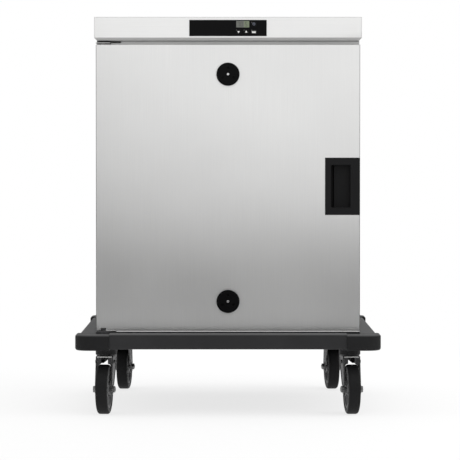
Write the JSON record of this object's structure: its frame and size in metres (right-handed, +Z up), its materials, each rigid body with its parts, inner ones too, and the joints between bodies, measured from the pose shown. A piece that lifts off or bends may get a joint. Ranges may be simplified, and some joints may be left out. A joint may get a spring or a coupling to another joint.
{
  "type": "heated holding cart",
  "caption": "Low insulated stainless cabinet on swivel casters that keeps food pans hot, with a hinged door, rotary door vents, a control panel and a bumper base.",
  "frame": {"origin": "on the floor under the middle of the bumper base", "axes": "+Z up, the door faces -Y, +X to the right of a person facing the door"},
  "size_m": [0.7686, 0.88, 1],
  "materials": {
    "brushed_stainless": "fine brushed stainless sheet",
    "liner_steel": "satin stainless",
    "hinge_steel": "turned and machined stainless",
    "bush_bronze": "plain bronze",
    "mineral_wool": "pressed mineral wool",
    "heater_silicone": "moulded silicone mat",
    "black_moulding": "fine-grained black moulding",
    "panel_film": "smooth black film",
    "button_film": "satin black keys with pale marks",
    "display_glass": "grey-green display window",
    "circuit_board": "green laminate",
    "gasket_rubber": "soft extruded rubber",
    "bumper_grey": "matt dark grey moulding",
    "deck_paint": "dark powder coat",
    "caster_zinc": "bright zinc plate",
    "hub_grey": "grey moulded nylon",
    "tyre_rubber": "dark grey rubber"
  },
  "bodies": {
    "cabinet": {"outer_casing": "brushed_stainless", "front_frame": "brushed_stainless", "top_cover": "brushed_stainless", "electronics_tray": "brushed_stainless", "inner_liner": "liner_steel", "rack_posts": "liner_steel", "pan_runners": "liner_steel", "temperature_probe": "liner_steel", "hinge_bracket_top": "hinge_steel", "hinge_bracket_bottom": "hinge_steel", "hinge_pins": "hinge_steel", "insulation": "mineral_wool", "heater_mats": "heater_silicone", "cable_gland": "black_moulding", "control_panel": "panel_film", "display_window": "display_glass", "control_board": "circuit_board", "left_rail": "bumper_grey", "right_rail": "bumper_grey", "front_rail": "bumper_grey", "rear_rail": "bumper_grey", "corner_bumper_front_left": "bumper_grey", "corner_bumper_front_right": "bumper_grey", "corner_bumper_rear_left": "bumper_grey", "corner_bumper_rear_right": "bumper_grey", "chassis_deck": "deck_paint", "caster_blocks": "deck_paint", "caster_plates": "caster_zinc", "caster_bolts": "caster_zinc"},
    "door": {"door_skin": "brushed_stainless", "door_insulation": "mineral_wool", "door_inner_panel": "brushed_stainless", "door_gasket": "gasket_rubber", "handle_housing": "black_moulding", "vent_seat_top": "black_moulding", "vent_seat_bottom": "black_moulding", "vent_screws": "hinge_steel", "hinge_bushes": "bush_bronze"},
    "vent_disc_top": {"vent_disc_top": "black_moulding"},
    "vent_disc_bottom": {"vent_disc_bottom": "black_moulding"},
    "down_button": {"down_button": "button_film"},
    "up_button": {"up_button": "button_film"},
    "set_button": {"set_button": "button_film"},
    "power_button": {"power_button": "button_film"},
    "caster_front_left": {"caster_fork_front_left": "caster_zinc", "caster_axle_front_left": "caster_zinc"},
    "wheel_front_left": {"wheel_hub_front_left": "hub_grey", "caster_tyre_front_left": "tyre_rubber"},
    "caster_front_right": {"caster_fork_front_right": "caster_zinc", "caster_axle_front_right": "caster_zinc"},
    "wheel_front_right": {"wheel_hub_front_right": "hub_grey", "caster_tyre_front_right": "tyre_rubber"},
    "caster_rear_left": {"caster_fork_rear_left": "caster_zinc", "caster_axle_rear_left": "caster_zinc"},
    "wheel_rear_left": {"wheel_hub_rear_left": "hub_grey", "caster_tyre_rear_left": "tyre_rubber"},
    "caster_rear_right": {"caster_fork_rear_right": "caster_zinc", "caster_axle_rear_right": "caster_zinc"},
    "wheel_rear_right": {"wheel_hub_rear_right": "hub_grey", "caster_tyre_rear_right": "tyre_rubber"}
  },
  "joints": [
    {"name": "door_swing", "type": "hinge", "parent": "cabinet", "child": "door", "pos_m": [-0.314, -0.376, 0.571], "axis": [0, 0, -1], "range_deg": [0, 180]},
    {"name": "vent_top_turn", "type": "hinge", "parent": "door", "child": "vent_disc_top", "pos_m": [0, -0.397, 0.8565], "axis": [0, -1, 0], "range_deg": [0, 60]},
    {"name": "vent_bottom_turn", "type": "hinge", "parent": "door", "child": "vent_disc_bottom", "pos_m": [0, -0.397, 0.2855], "axis": [0, -1, 0], "range_deg": [0, 60]},
    {"name": "down_button_press", "type": "slide", "parent": "cabinet", "child": "down_button", "axis": [0, 1, 0], "range_m": [0, 0.0006], "stiffness_N_per_m": 800},
    {"name": "up_button_press", "type": "slide", "parent": "cabinet", "child": "up_button", "axis": [0, 1, 0], "range_m": [0, 0.0006], "stiffness_N_per_m": 800},
    {"name": "set_button_press", "type": "slide", "parent": "cabinet", "child": "set_button", "axis": [0, 1, 0], "range_m": [0, 0.0006], "stiffness_N_per_m": 800},
    {"name": "power_button_press", "type": "slide", "parent": "cabinet", "child": "power_button", "axis": [0, 1, 0], "range_m": [0, 0.0006], "stiffness_N_per_m": 800},
    {"name": "swivel_front_left", "type": "hinge", "parent": "cabinet", "child": "caster_front_left", "pos_m": [-0.309, -0.338, 0.16], "axis": [0, 0, 1], "continuous": true},
    {"name": "roll_front_left", "type": "hinge", "parent": "caster_front_left", "child": "wheel_front_left", "pos_m": [-0.31264, -0.37583, 0.0625], "axis": [0.9954, -0.0958, 0], "continuous": true},
    {"name": "swivel_front_right", "type": "hinge", "parent": "cabinet", "child": "caster_front_right", "pos_m": [0.309, -0.338, 0.16], "axis": [0, 0, 1], "continuous": true},
    {"name": "roll_front_right", "type": "hinge", "parent": "caster_front_right", "child": "wheel_front_right", "pos_m": [0.31264, -0.37583, 0.0625], "axis": [0.9954, 0.0958, 0], "continuous": true},
    {"name": "swivel_rear_left", "type": "hinge", "parent": "cabinet", "child": "caster_rear_left", "pos_m": [-0.294, 0.338, 0.16], "axis": [0, 0, 1], "continuous": true},
    {"name": "roll_rear_left", "type": "hinge", "parent": "caster_rear_left", "child": "wheel_rear_left", "pos_m": [-0.29036, 0.37583, 0.0625], "axis": [-0.9954, 0.0958, 0], "continuous": true},
    {"name": "swivel_rear_right", "type": "hinge", "parent": "cabinet", "child": "caster_rear_right", "pos_m": [0.294, 0.338, 0.16], "axis": [0, 0, 1], "continuous": true},
    {"name": "roll_rear_right", "type": "hinge", "parent": "caster_rear_right", "child": "wheel_rear_right", "pos_m": [0.29036, 0.37583, 0.0625], "axis": [-0.9954, -0.0958, 0], "continuous": true}
  ]
}
